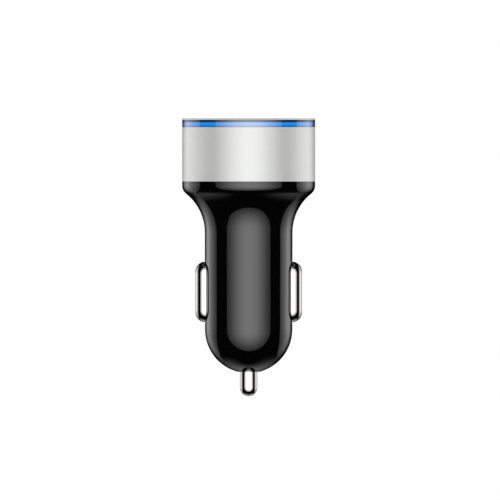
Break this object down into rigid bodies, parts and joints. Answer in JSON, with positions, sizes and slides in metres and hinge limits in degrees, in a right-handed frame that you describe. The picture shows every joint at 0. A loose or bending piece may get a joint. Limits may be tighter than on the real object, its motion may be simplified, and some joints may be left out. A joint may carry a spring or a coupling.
{
  "type": "car charger plug",
  "caption": "Car power socket plug with a wide flared head, lit ring, side-by-side charging ports, sprung side contacts and a sprung round-ended tip.",
  "frame": {"origin": "on the plug's axis, half way up the plain cylindrical land of the barrel above the side contacts", "axes": "+Z points out of the face with the ports and -Z out of the tip, the way the plug goes into its socket; X runs through the two side contacts; the ports' wide sides lie along X"},
  "size_m": [0.032, 0.032, 0.0668],
  "materials": {
    "gloss_black": "high gloss",
    "satin_aluminium": "satin anodised",
    "blue_light_guide": "clear light guide lit blue",
    "bright_nickel": "bright nickel plate",
    "white_nylon": "moulded",
    "gold_plate": "plated",
    "board_laminate": "solder mask",
    "led_white": "moulded",
    "ferrite": "matt",
    "copper_wire": "enamelled",
    "can_aluminium": "bright",
    "chip_black": "moulded",
    "ceramic_tan": "ceramic",
    "tinned_copper": "tinned",
    "spring_steel": "bright"
  },
  "bodies": {
    "housing": {"barrel_housing": "gloss_black", "head_sleeve": "satin_aluminium", "light_ring": "blue_light_guide", "face_plate": "gloss_black", "face_bezel": "satin_aluminium", "usb_shell_a": "bright_nickel", "usb_shell_b": "bright_nickel", "usb_insulator_a": "white_nylon", "usb_insulator_b": "white_nylon", "usb_contacts_a": "gold_plate", "usb_contacts_b": "gold_plate", "usb_board": "board_laminate", "ring_leds": "led_white", "main_board": "board_laminate", "inductor_core": "ferrite", "inductor_winding": "copper_wire", "input_capacitor": "can_aluminium", "output_capacitor": "can_aluminium", "converter_chip": "chip_black", "converter_leads": "tinned_copper", "rectifier_diode": "chip_black", "board_fuse": "led_white", "chip_resistors": "chip_black", "chip_capacitors": "ceramic_tan", "spring_terminal": "tinned_copper", "tip_spring": "spring_steel", "left_contact_spring": "spring_steel", "right_contact_spring": "spring_steel"},
    "tip": {"tip_contact": "bright_nickel"},
    "left_contact": {"left_side_contact": "bright_nickel"},
    "right_contact": {"right_side_contact": "bright_nickel"}
  },
  "joints": [
    {"name": "tip_press", "type": "slide", "parent": "housing", "child": "tip", "axis": [0, 0, 1], "range_m": [0, 0.003], "stiffness_N_per_m": 1800, "springref_m": -0.002, "deforming": ["tip_spring"]},
    {"name": "left_contact_press", "type": "slide", "parent": "housing", "child": "left_contact", "axis": [1, 0, 0], "range_m": [0, 0.0022], "stiffness_N_per_m": 1200, "springref_m": -0.001, "deforming": ["left_contact_spring"]},
    {"name": "right_contact_press", "type": "slide", "parent": "housing", "child": "right_contact", "axis": [-1, 0, 0], "range_m": [0, 0.0022], "stiffness_N_per_m": 1200, "springref_m": -0.001, "deforming": ["right_contact_spring"]}
  ]
}
